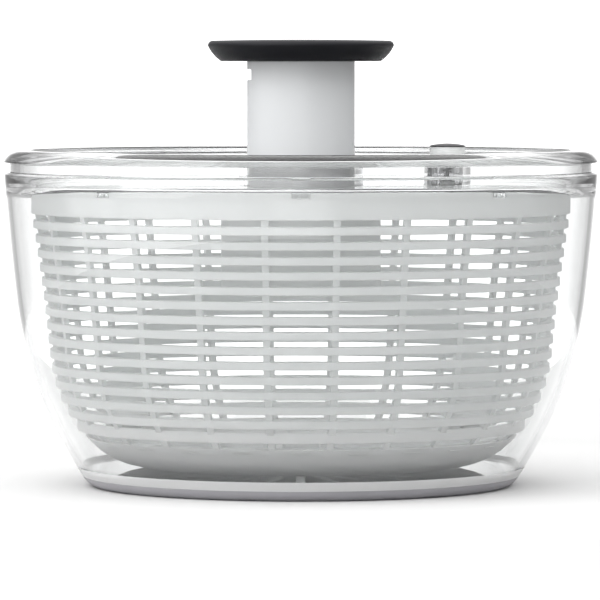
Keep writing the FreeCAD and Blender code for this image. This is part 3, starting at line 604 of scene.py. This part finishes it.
def make_basket():
    """The milky basket: one skin turned, slotted, thickened, and its hoops drawn out past the ribs."""
    base_z, top_z = low("basket").z, high("basket").z
    base_r, mouth_r = high("foot_ring").x - 28 * MM, high("drive_plate").x + 0.2 * MM
    slots_low, slots_high, slot_h = base_z + 13.1 * MM, top_z - 12.8 * MM, 3.05 * MM
    side = Side(BASKET_CURVE, BASKET_SLOPE, base_r, base_z, mouth_r, slots_high)
    rows = sizes().slot_rows
    pitch = (slots_high - slots_low - slot_h) / (rows - 1)
    drain_in, drain_out = 26 * MM, 64 * MM
    socket_z = low("bowl").z + FLOOR_THICK + CONE_HIGH + 0.3 * MM

    edges_z = [slots_low]
    for row in range(rows):
        edges_z += [slots_low + pitch * row + slot_h, slots_low + pitch * (row + 1)]
    edges_z.pop()
    pen = Pen(0, socket_z)
    pen.line((4.3 * MM, socket_z), (8.7 * MM, base_z), (16 * MM, base_z))
    pen.line((drain_in, base_z), (drain_out, base_z))
    side.draw(pen, base_z, slots_low, steps=5)
    for z in edges_z:
        pen.line((side.radius(min(z, slots_high)) - sizes().hoop_proud, z))
    pen.line((mouth_r, slots_high), (mouth_r, slots_high + 5 * MM), (mouth_r, top_z - LUG_DEEP))
    pen.line((mouth_r, top_z))
    steps = sizes().bays * BAY_STEPS
    notch_steps = steps // LUGS
    mesh = pen.turned(steps)

    def in_rows(r, z):
        return slots_low - 0.1 * MM < z < slots_high + 0.1 * MM and r < mouth_r - 0.5 * MM

    def in_floor(r, z):
        return z < base_z + 0.1 * MM and drain_in - 1 * MM < r < drain_out + 1 * MM

    def in_notch(r, z):
        return z > top_z - LUG_DEEP - 1 * MM

    gather(mesh, steps, BAY_STEPS, BAY_STEPS // 2, 1, sizes().rib_width, in_rows)
    gather(mesh, steps, BAY_STEPS, 0, 1, 4 * MM, in_floor)
    gather(mesh, steps, notch_steps, 0, 1, 8 * MM, in_notch)

    hoop_rows = mesh.faces.layers.int.new("hoop")
    gone = []
    for face in mesh.faces:
        centre = face.calc_center_median()
        r, angle = polar(centre)
        column = math.floor(angle / TURN * steps) % steps
        bay = column % BAY_STEPS
        if slots_low < centre.z < slots_high and r < mouth_r - 0.5 * MM:
            row = math.floor((centre.z - slots_low) / pitch)
            if centre.z - slots_low - row * pitch > slot_h:
                face[hoop_rows] = 1 + row
            elif bay not in (BAY_STEPS // 2 - 1, BAY_STEPS // 2):
                gone.append(face)
        elif centre.z < base_z + 0.1 * MM and drain_in < r < drain_out and bay in (0, BAY_STEPS - 1):
            gone.append(face)
        elif centre.z > top_z - LUG_DEEP and column % notch_steps in (0, notch_steps - 1):
            gone.append(face)
    bmesh.ops.delete(mesh, geom=gone, context="FACES")
    bmesh.ops.recalc_face_normals(mesh, faces=mesh.faces[:])
    bmesh.ops.solidify(mesh, geom=mesh.faces[:], thickness=sizes().basket_wall)
    bmesh.ops.recalc_face_normals(mesh, faces=mesh.faces[:])

    for row in range(rows - 1):
        middle_z = slots_low + pitch * row + (slot_h + pitch) / 2
        outer = [face for face in mesh.faces if face[hoop_rows] == 1 + row and faces_out(face)]
        grown = bmesh.ops.extrude_face_region(mesh, geom=outer)["geom"]
        bmesh.ops.delete(mesh, geom=outer, context="FACES")
        at_radius(points_of(grown), side.radius(middle_z))
    piece("basket_slotted", mesh, "basket", finish_of("milky_plastic"), ["basket"],
          edge=0.3 * MM, crease=40.0)


def faces_out(face):
    """Whether an upright face looks away from the axis."""
    centre = face.calc_center_median()
    return face.normal.x * centre.x + face.normal.y * centre.y > 0.5 * math.hypot(centre.x, centre.y)


# Lid

CUP_SEGMENTS = 40
PORT_STEPS = 8.5
COLLAR_WINDOW = math.radians(23.5)


def make_lid():
    """The clear lid: rim, skirt, deck and collar turned in one, then the brake's cup sunk in the deck."""
    lip_r, top_z = high("lid_shell").x, high("lid_shell").z
    deck_z, under_z = top_z - 2.1 * MM, top_z - 4.3 * MM
    flat_r = lip_r - 7.3 * MM
    deck_r = flat_r - 5 * MM
    lip_z, rim_z = top_z - 5.3 * MM, high("bowl").z
    neck_r = high("bowl").x - 2.6 * MM
    skirt_r = high("bowl").x - 5 * MM
    skirt_in_r, skirt_z = skirt_r - 2.2 * MM, rim_z - 5.3 * MM
    bore_r, collar_r = 24.5 * MM, 28 * MM
    collar_z, shoulder_z = low("lid_shell").z, deck_z - 11.9 * MM
    lower_r = 25.55 * MM
    window_z = under_z - 5 * MM
    brake_x = (low("brake_button").x + high("brake_button").x) / 2
    port = (54 * MM, 60 * MM, 66 * MM, 72 * MM, 78 * MM)

    pen = Pen(deck_r, deck_z)
    pen.line((deck_r + 1.05 * MM, top_z), (flat_r, top_z))
    pen.curve(lip_r, lip_z, Vector((1, 0, 0)), 10)
    pen.line((neck_r, lip_z), (neck_r, rim_z + 0.02 * MM), (skirt_r, rim_z + 0.02 * MM), (skirt_r, skirt_z),
             (skirt_in_r, skirt_z), (skirt_in_r, under_z))
    pen.line(*[(r, under_z) for r in reversed(port)])
    pen.line((collar_r, under_z), (collar_r, window_z), (collar_r, collar_z), (lower_r, collar_z),
             (lower_r, shoulder_z), (bore_r, shoulder_z), (bore_r, window_z), (bore_r, under_z),
             (bore_r, deck_z))
    pen.line(*[(r, deck_z) for r in port])
    pen.close()
    mesh = pen.soften(0.3 * MM, least=40.0, segments=2).turned(ROUND_STEPS)

    def port_loop(z, radius):
        """Opens a port for the brake through the deck's skin at a height. Gives the round loop in it."""
        half_angle = PORT_STEPS * TURN / ROUND_STEPS
        patch = []
        for face in mesh.faces:
            centre = face.calc_center_median()
            r, angle = polar(centre)
            if abs(centre.z - z) < LEVEL and port[0] < r < port[-1] and abs(angle) < half_angle:
                patch.append(face)
        loop = circle(mesh, brake_x, z, radius, CUP_SEGMENTS)
        bmesh.ops.bridge_loops(mesh, edges=cut_out(mesh, patch) + loop)
        return loop

    cup_r, cup_out_r, stem_r = 8.5 * MM, 10.5 * MM, 2.6 * MM
    cup_low, cup_floor = high("brake_pad").z + 0.3 * MM, high("brake_pad").z + 1.9 * MM
    top_loop = port_loop(deck_z, cup_r)
    under_loop = port_loop(under_z, cup_out_r)
    inner = follow(mesh, top_loop, (brake_x, cup_r, cup_floor), (brake_x, stem_r, cup_floor),
                   (brake_x, stem_r, cup_low))
    outer = follow(mesh, under_loop, (brake_x, cup_out_r, cup_low))
    bmesh.ops.bridge_loops(mesh, edges=inner + outer)
    cut_window(mesh, window_z, under_z, collar_r + 0.2 * MM, COLLAR_WINDOW)
    bmesh.ops.recalc_face_normals(mesh, faces=mesh.faces[:])
    piece("lid_clear", mesh, "lid", finish_of("clear_plastic"), ["lid_shell"])


# Drive plate and well


def make_plate():
    """The clear drive plate: hub, disc and lip turned in one, with lugs for the basket drawn down."""
    plate_r, top_z, hub_z = high("drive_plate").x, high("drive_plate").z, low("drive_plate").z
    plate_z = top_z - 1.5 * MM
    hub_r, hub_out_r = 28.5 * MM, 33.5 * MM
    lip_r, lip_z = plate_r - 3 * MM, plate_z - 4.5 * MM
    lip_in_r = lip_r - 1.6 * MM
    steps = 240
    lug_steps = steps // LUGS
    pen = Pen(hub_r, hub_z)
    pen.line((hub_out_r, hub_z), (hub_out_r, plate_z), (lip_in_r, plate_z), (lip_in_r, lip_z), (lip_r, lip_z),
             (lip_r, plate_z), (plate_r, plate_z), (plate_r, top_z), (hub_r, top_z))
    pen.close()
    mesh = pen.turned(steps)

    def at_lug(r, z):
        return r > lip_r - 0.1 * MM and z > plate_z - 0.1 * MM

    gather(mesh, steps, lug_steps, 0, 2, 7.4 * MM, at_lug)
    lugs = []
    for face in mesh.faces:
        centre = face.calc_center_median()
        r, angle = polar(centre)
        near = math.floor(angle / TURN * steps) % lug_steps in (0, 1, lug_steps - 2, lug_steps - 1)
        if near and abs(centre.z - plate_z) < LEVEL and r > lip_r:
            lugs.append(face)
    grown = bmesh.ops.extrude_face_region(mesh, geom=lugs)["geom"]
    bmesh.ops.delete(mesh, geom=lugs, context="FACES")
    bmesh.ops.translate(mesh, vec=(0, 0, -LUG_DEEP), verts=points_of(grown))
    bmesh.ops.recalc_face_normals(mesh, faces=mesh.faces[:])
    piece("plate_clear", mesh, "drive", finish_of("clear_plastic"), ["drive_plate"],
          edge=0.25 * MM, crease=50.0)


def make_well():
    """The milky cup under the plate that carries the screw and the clutch."""
    base_z, top_z = low("drive_well").z, high("drive_well").z - 0.03 * MM
    bore_r, in_r, out_r, flange_r = 6 * MM, 33.8 * MM, 35.8 * MM, high("drive_well").x
    floor_z, flange_z = base_z + 2.4 * MM, top_z - 2.2 * MM
    pen = Pen(bore_r, base_z)
    pen.line((out_r, base_z), (out_r, flange_z), (flange_r, flange_z), (flange_r, top_z), (in_r, top_z),
             (in_r, floor_z), (bore_r, floor_z))
    pen.close()
    mesh = pen.soften(0.5 * MM).turned(144)
    piece("well_milky", mesh, "drive", finish_of("milky_plastic"), ["drive_well"])


# Plunger, knob and lock


def make_tube():
    """The white plunger tube, with its stop flange and the latch's window."""
    foot_z, top_z = low("plunger_tube").z, high("plunger_tube").z
    stop_r, stop_z = high("plunger_tube").x, foot_z + 2 * MM
    tube_r = stop_r - 1.1 * MM
    in_r = tube_r - 2 * MM
    sill_z, head_z = top_z - 8.4 * MM, top_z - 3.7 * MM
    steps, half_window = 96, 6.2
    pen = Pen(in_r, foot_z)
    pen.line((stop_r, foot_z), (stop_r, stop_z), (tube_r, stop_z), (tube_r, sill_z), (tube_r, head_z),
             (tube_r, top_z), (in_r, top_z), (in_r, head_z), (in_r, sill_z))
    pen.close()
    mesh = pen.turned(steps)
    cut_window(mesh, sill_z, head_z, stop_r, half_window * TURN / steps)
    bmesh.ops.recalc_face_normals(mesh, faces=mesh.faces[:])
    piece("tube_white", mesh, "plunger", finish_of("white_plastic"), ["plunger_tube"],
          edge=0.3 * MM, crease=50.0)


def make_knob():
    """The knob's soft skin over its rigid core, with the lock's recess in its top."""
    foot_z, top_z, knob_r = low("knob_grip").z, high("knob_grip").z, high("knob_grip").x
    foot_r = knob_r - 5.2 * MM
    crown, corner = 0.5 * MM, 2.2 * MM
    edge_z, edge_r = top_z - crown, knob_r - corner
    core_r, core_z = foot_r - 2.5 * MM, foot_z + 3 * MM
    cap_r, cap_z = 22.5 * MM, top_z - 3 * MM
    pen = Pen(core_r, foot_z)
    pen.line((foot_r - 0.8 * MM, foot_z), (foot_r, foot_z + 0.5 * MM))
    pen.curve(knob_r, edge_z - corner, Vector((0.8, 0, 0.6)).normalized(), 10)
    pen.arc(edge_r, edge_z - corner, 90.0, 8)
    pen.line(*[(r, top_z - crown * (r / edge_r) ** 2) for r in (36 * MM, 28 * MM, 20 * MM, 10 * MM)])
    pen.line((0, top_z))
    pen.line((0, cap_z), (cap_r, cap_z), (cap_r, core_z), (core_r, core_z))
    pen.close()
    mesh = pen.turned(192)
    gap, travel, depth = 0.3 * MM, 4.5 * MM, 2.0 * MM
    x0, x1 = low("lock_slider").x - travel - gap, high("lock_slider").x + gap
    half_y = high("lock_slider").y + gap
    for place, way in (((x0, 0, 0), (1, 0, 0)), ((x1, 0, 0), (1, 0, 0)), ((0, -half_y, 0), (0, 1, 0)),
                       ((0, half_y, 0), (0, 1, 0))):
        skin = [face for face in mesh.faces if face.calc_center_median().z > edge_z - LEVEL]
        around = dict.fromkeys(part for face in skin for part in (face, *face.edges, *face.verts))
        bmesh.ops.bisect_plane(mesh, geom=list(around), plane_co=place, plane_no=way)
    inside = []
    for face in mesh.faces:
        centre = face.calc_center_median()
        if centre.z > edge_z - LEVEL and x0 < centre.x < x1 and abs(centre.y) < half_y:
            inside.append(face)
    grown = bmesh.ops.extrude_edge_only(mesh, edges=cut_out(mesh, inside))["geom"]
    for vertex in points_of(grown):
        vertex.co.z = edge_z - depth
    bmesh.ops.holes_fill(mesh, edges=edges_of(grown), sides=0)
    bmesh.ops.recalc_face_normals(mesh, faces=mesh.faces[:])
    piece("knob_soft", mesh, "plunger", finish_of("black_soft"), ["knob_grip"], crease=50.0)


def make_slider():
    """The lock's thumb slider, with three ridges across it."""
    a, b = low("lock_slider"), high("lock_slider")
    ridge_half, ridge_inset, ridge_foot = 0.7 * MM, 1.6 * MM, 0.6 * MM
    mesh = round_box(a.x, b.x, a.y, b.y, a.z, b.z - 0.2 * MM, 0.5 * MM)
    for share in (0.25, 0.5, 0.75):
        x = a.x + (b.x - a.x) * share
        ridge = round_box(
            x - ridge_half, x + ridge_half, a.y + ridge_inset, b.y - ridge_inset, a.z + ridge_foot, b.z,
            0.3 * MM, 2)
        data = stored("ridge", ridge)
        mesh.from_mesh(data)
        bpy.data.meshes.remove(data)
    piece("lock_thumb", mesh, "lock", finish_of("black_plastic"), ["lock_slider"])


# Brake


def turned_at(pen, x):
    """The skin swept by a section about an upright line at x."""
    mesh = pen.turned(64)
    bmesh.ops.translate(mesh, vec=(x, 0, 0), verts=mesh.verts)
    return mesh


def make_brake():
    """The button's dark cap over its milky skirt, and the shoe that rubs on the plate."""
    a, b = low("brake_button"), high("brake_button")
    x = (a.x + b.x) / 2
    radius, bevel = b.x - x, 0.4 * MM
    dome_z, cap_z = b.z - 0.8 * MM, b.z - 1.5 * MM
    pen = Pen(0, b.z)
    pen.curve(radius - bevel, dome_z, Vector((1, 0, 0)), 8)
    pen.line((radius, dome_z - bevel), (radius, cap_z), (0, cap_z))
    mesh = turned_at(pen.soften(0.2 * MM), x)
    piece("brake_cap", mesh, "brake", finish_of("black_plastic"), ["brake_button"])
    skirt_r, skirt_in_r = radius - 0.1 * MM, radius - 2 * MM
    pen = Pen(skirt_in_r, a.z)
    pen.line((skirt_r, a.z), (skirt_r, cap_z), (skirt_in_r, cap_z))
    pen.close()
    mesh = turned_at(pen.soften(0.2 * MM), x)
    piece("brake_skirt", mesh, "brake", finish_of("milky_plastic"), ["brake_button"])
    a, b = low("brake_pad"), high("brake_pad")
    shoe_r, hollow_r, hollow_z = b.x - x, 4.5 * MM, b.z - 0.8 * MM
    pen = Pen(0, a.z)
    pen.line((shoe_r - 0.5 * MM, a.z), (shoe_r, a.z + 0.4 * MM), (shoe_r, b.z), (hollow_r, b.z),
             (hollow_r, hollow_z), (0, hollow_z))
    pen.close()
    mesh = turned_at(pen, x)
    piece("brake_shoe", mesh, "brake", finish_of("black_soft"), ["brake_pad"])


# Springs


def wound(radius, wire, low_z, high_z, turns, x=0.0, per_turn=24):
    """A coil of round wire about an upright line at x."""
    mesh = bmesh.new()
    ring = bmesh.ops.create_circle(mesh, segments=8, radius=wire / 2)["verts"]
    bmesh.ops.rotate(mesh, verts=ring, cent=(0, 0, 0), matrix=Matrix.Rotation(math.pi / 2, 3, "X"))
    bmesh.ops.translate(mesh, verts=ring, vec=(radius, 0, low_z + wire / 2))
    steps = turns * per_turn
    bmesh.ops.spin(
        mesh, geom=mesh.verts[:] + mesh.edges[:], cent=(0, 0, 0), axis=UPWARD, angle=TURN * turns,
        steps=steps, dvec=(0, 0, (high_z - low_z - wire) / steps))
    bmesh.ops.holes_fill(mesh, edges=mesh.edges[:], sides=8)
    bmesh.ops.recalc_face_normals(mesh, faces=mesh.faces[:])
    bmesh.ops.translate(mesh, verts=mesh.verts, vec=(x, 0, 0))
    return mesh


def make_springs():
    """The plunger's return spring and the brake's spring."""
    a, b = low("return_spring"), high("return_spring")
    mesh = wound(10.5 * MM, 1.1 * MM, a.z, b.z, 7)
    main = piece("spring_return", mesh, "lid", finish_of("spring_steel"), ["return_spring"])
    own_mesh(main)
    c, d = low("brake_spring"), high("brake_spring")
    mesh = wound(5 * MM, 0.6 * MM, c.z, d.z, 5, (c.x + d.x) / 2)
    small = piece("spring_brake", mesh, "lid", finish_of("spring_steel"), ["brake_spring"])
    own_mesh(small)


# Pieces of the mechanism that keep their engineered shape

FRAME_SLOTS = {entry["node"]: entry["material_slot"] for entry in frame["record"]["subparts"]}


def make_inner():
    """Gives the frame's own nodes their finishes."""
    for node, made in frame["nodes"].items():
        if node in FRAME_SLOTS:
            made.data.materials.clear()
            made.data.materials.append(finish_of(FRAME_SLOTS[node]))


# Stage

FLOOR_RADIUS = 0.65
KEY_PLACE = Vector((-1.6, -0.9, 1.3))
KEY_AIM = Vector((0, 0, 0.1))
EYE_PLACE = (-0.0004, -2.391, 0.192)
EYE_DOWN = 2.61


def ranged(tree, source, start, end, first, last, kind="SMOOTHSTEP"):
    """A number that runs from a first to a last value while its source runs from a start to an end."""
    made = add(tree, "ShaderNodeMapRange", interpolation_type=kind, From_Min=start, From_Max=end,
               To_Min=first, To_Max=last)
    tree.links.new(source, made.inputs["Value"])
    return made.outputs["Result"]


def joined(tree, operation, *sources):
    """The result of an operation on one or two numbers."""
    made = add(tree, "ShaderNodeMath", operation=operation)
    for socket, source in zip(made.inputs, sources):
        tree.links.new(source, socket)
    return made.outputs["Value"]


def make_floor():
    """A round pale floor, painted lighter near the object than away from it, to lift the shadow that the
    object casts.
    """
    floor = bmesh.new()
    bmesh.ops.create_circle(floor, cap_ends=True, segments=128, radius=FLOOR_RADIUS)
    data = stored("floor", floor)
    material, tree, shader = finish("floor", Roughness=0.8, Specular_IOR_Level=0.0)
    place = add(tree, "ShaderNodeTexCoord")
    away = add(tree, "ShaderNodeVectorMath", operation="LENGTH")
    tree.links.new(place.outputs["Object"], away.inputs[0])
    # Painted light: the floor's colour runs from 0.55 near the object down to 0.42 further out, lifting its
    # shadow.
    painted_light_tone = ranged(tree, away.outputs["Value"], 0.12, 0.3, 0.55, 0.42, kind="LINEAR")
    tree.links.new(painted_light_tone, shader.inputs["Base Color"])
    data.materials.append(material)
    made = placed("floor", data)


def light_room():
    """A white room, brightest above, with low pale boards all round and a brighter front left."""
    world = bpy.data.worlds.new("studio")
    bpy.context.scene.world = world
    world.use_nodes = True
    tree = world.node_tree
    sky = add(tree, "ShaderNodeTexCoord")
    split = add(tree, "ShaderNodeSeparateXYZ")
    tree.links.new(sky.outputs["Generated"], split.inputs["Vector"])
    x, y, z = (split.outputs[axis] for axis in "XYZ")

    # Two boards across the line of sight, and two beside it that fade towards the right
    across = ranged(tree, joined(tree, "ABSOLUTE", x), 0.12, 0.34, 1.1, 0.0)
    beside = joined(tree, "MULTIPLY", ranged(tree, joined(tree, "ABSOLUTE", y), 0.12, 0.34, 1.1, 0.0),
                    ranged(tree, x, -1, 1, 1, 0.3))
    boards = joined(tree, "MAXIMUM", across, beside)
    # They end a little above the horizon, and nothing well below it is darker than an even grey
    backdrop = joined(tree, "MULTIPLY", boards, ranged(tree, z, 0.06, 0.2, 1.0, 0.0))
    backdrop = joined(tree, "MAXIMUM", backdrop, ranged(tree, z, -0.16, -0.1, 0.5, 0.0))
    front = joined(tree, "MULTIPLY", ranged(tree, y, -0.5, 0.1, 0.8, 0.0),
                   ranged(tree, x, -0.6, 0.4, 1.5, 0.2))
    room = joined(tree, "MULTIPLY", ranged(tree, z, 0.25, 0.8, 0.5, 2.8),
                  ranged(tree, x, -0.7, 0.7, 1.08, 0.95))
    strength = joined(tree, "ADD", joined(tree, "ADD", room, front), backdrop)
    light = tree.nodes["Background"]
    tree.links.new(strength, light.inputs["Strength"])
    light.inputs["Color"].default_value = (1, 1, 1, 1)

    lamp = bpy.data.lights.new("key", "AREA")
    lamp.shape = "RECTANGLE"
    lamp.size = 1.2
    lamp.size_y = 1.6
    lamp.energy = 8.0
    key = placed("key", lamp)
    key.location = KEY_PLACE
    key.rotation_mode = "QUATERNION"
    key.rotation_quaternion = (KEY_PLACE - KEY_AIM).to_track_quat("Z", "Y")


def place_camera():
    """A long lens in front, a little above the rim."""
    view = bpy.data.cameras.new("camera")
    view.lens = 319.9
    view.sensor_width = 36.0
    eye = placed("camera", view)
    eye.location = EYE_PLACE
    eye.rotation_mode = "XYZ"
    eye.rotation_euler = (math.radians(90 - EYE_DOWN), 0, 0)
    bpy.context.scene.camera = eye


def make_stage():
    """Floor, light and camera, with enough bounces to see through several clear walls."""
    make_floor()
    light_room()
    place_camera()
    scene = bpy.context.scene
    scene.view_settings.view_transform = "Standard"
    scene.cycles.transmission_bounces = 24
    scene.cycles.transparent_max_bounces = 24
    scene.cycles.max_bounces = 28
    scene.cycles.glossy_bounces = 12
    scene.cycles.diffuse_bounces = 10


# Operators and panel


class MakeBowl(bpy.types.Operator):
    """Turn the clear bowl"""

    bl_idname = "spinner.make_bowl"
    bl_label = "Bowl"

    def execute(self, context):
        make_bowl()
        return {"FINISHED"}


class MakeFoot(bpy.types.Operator):
    """Turn the soft ring that the bowl stands on"""

    bl_idname = "spinner.make_foot"
    bl_label = "Foot ring"

    def execute(self, context):
        make_foot()
        return {"FINISHED"}


class MakeBasket(bpy.types.Operator):
    """Turn the milky basket, slot it and draw its hoops out"""

    bl_idname = "spinner.make_basket"
    bl_label = "Basket"

    def execute(self, context):
        make_basket()
        return {"FINISHED"}


class MakeLid(bpy.types.Operator):
    """Turn the clear lid and sink the brake's cup in it"""

    bl_idname = "spinner.make_lid"
    bl_label = "Lid"

    def execute(self, context):
        make_lid()
        return {"FINISHED"}


class MakePlate(bpy.types.Operator):
    """Turn the clear drive plate with its lugs"""

    bl_idname = "spinner.make_plate"
    bl_label = "Drive plate"

    def execute(self, context):
        make_plate()
        return {"FINISHED"}


class MakeWell(bpy.types.Operator):
    """Turn the milky well under the drive plate"""

    bl_idname = "spinner.make_well"
    bl_label = "Drive well"

    def execute(self, context):
        make_well()
        return {"FINISHED"}


class MakeTube(bpy.types.Operator):
    """Turn the white tube and cut the latch's window in it"""

    bl_idname = "spinner.make_tube"
    bl_label = "Plunger tube"

    def execute(self, context):
        make_tube()
        return {"FINISHED"}


class MakeKnob(bpy.types.Operator):
    """Turn the knob's soft skin and sink the lock's recess in it"""

    bl_idname = "spinner.make_knob"
    bl_label = "Knob"

    def execute(self, context):
        make_knob()
        return {"FINISHED"}


class MakeSlider(bpy.types.Operator):
    """Make the lock's thumb slider"""

    bl_idname = "spinner.make_slider"
    bl_label = "Lock"

    def execute(self, context):
        make_slider()
        return {"FINISHED"}


class MakeBrake(bpy.types.Operator):
    """Turn the brake's button and shoe"""

    bl_idname = "spinner.make_brake"
    bl_label = "Brake"

    def execute(self, context):
        make_brake()
        return {"FINISHED"}


class MakeSprings(bpy.types.Operator):
    """Wind the return spring and the brake's spring"""

    bl_idname = "spinner.make_springs"
    bl_label = "Springs"

    def execute(self, context):
        make_springs()
        return {"FINISHED"}


class MakeInner(bpy.types.Operator):
    """Give the inner pieces of the frame their finishes"""

    bl_idname = "spinner.make_inner"
    bl_label = "Mechanism"

    def execute(self, context):
        make_inner()
        return {"FINISHED"}


class MakeStage(bpy.types.Operator):
    """Set the floor, the light and the camera"""

    bl_idname = "spinner.make_stage"
    bl_label = "Stage"

    def execute(self, context):
        make_stage()
        return {"FINISHED"}


MAKERS = (
    MakeBowl, MakeFoot, MakeBasket, MakeLid, MakePlate, MakeWell, MakeTube, MakeKnob, MakeSlider, MakeBrake,
    MakeSprings, MakeInner, MakeStage,
)


class SpinnerPanel(bpy.types.Panel):
    """Sizes, colours and the making of each piece"""

    bl_idname = "VIEW3D_PT_spinner"
    bl_label = "Salad spinner"
    bl_space_type = "VIEW_3D"
    bl_region_type = "UI"
    bl_category = "Spinner"

    def draw(self, context):
        column = self.layout.column()
        for group in (context.scene.spinner_sizes, context.scene.spinner_colours):
            for name in group.bl_rna.properties.keys():
                if name not in ("rna_type", "name"):
                    column.prop(group, name)
        for maker in MAKERS:
            column.operator(maker.bl_idname)


CLASSES = (SpinnerSizes, SpinnerColours) + MAKERS + (SpinnerPanel,)


def register():
    for made in CLASSES:
        bpy.utils.register_class(made)
    bpy.types.Scene.spinner_sizes = bpy.props.PointerProperty(type=SpinnerSizes)
    bpy.types.Scene.spinner_colours = bpy.props.PointerProperty(type=SpinnerColours)


def unregister():
    del bpy.types.Scene.spinner_colours
    del bpy.types.Scene.spinner_sizes
    for made in reversed(CLASSES):
        bpy.utils.unregister_class(made)


def main():
    """Makes everything in order."""
    register()
    for maker in MAKERS:
        getattr(bpy.ops.spinner, maker.bl_idname.split(".")[1])()
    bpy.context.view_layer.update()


if __name__ == "__main__":
    main()
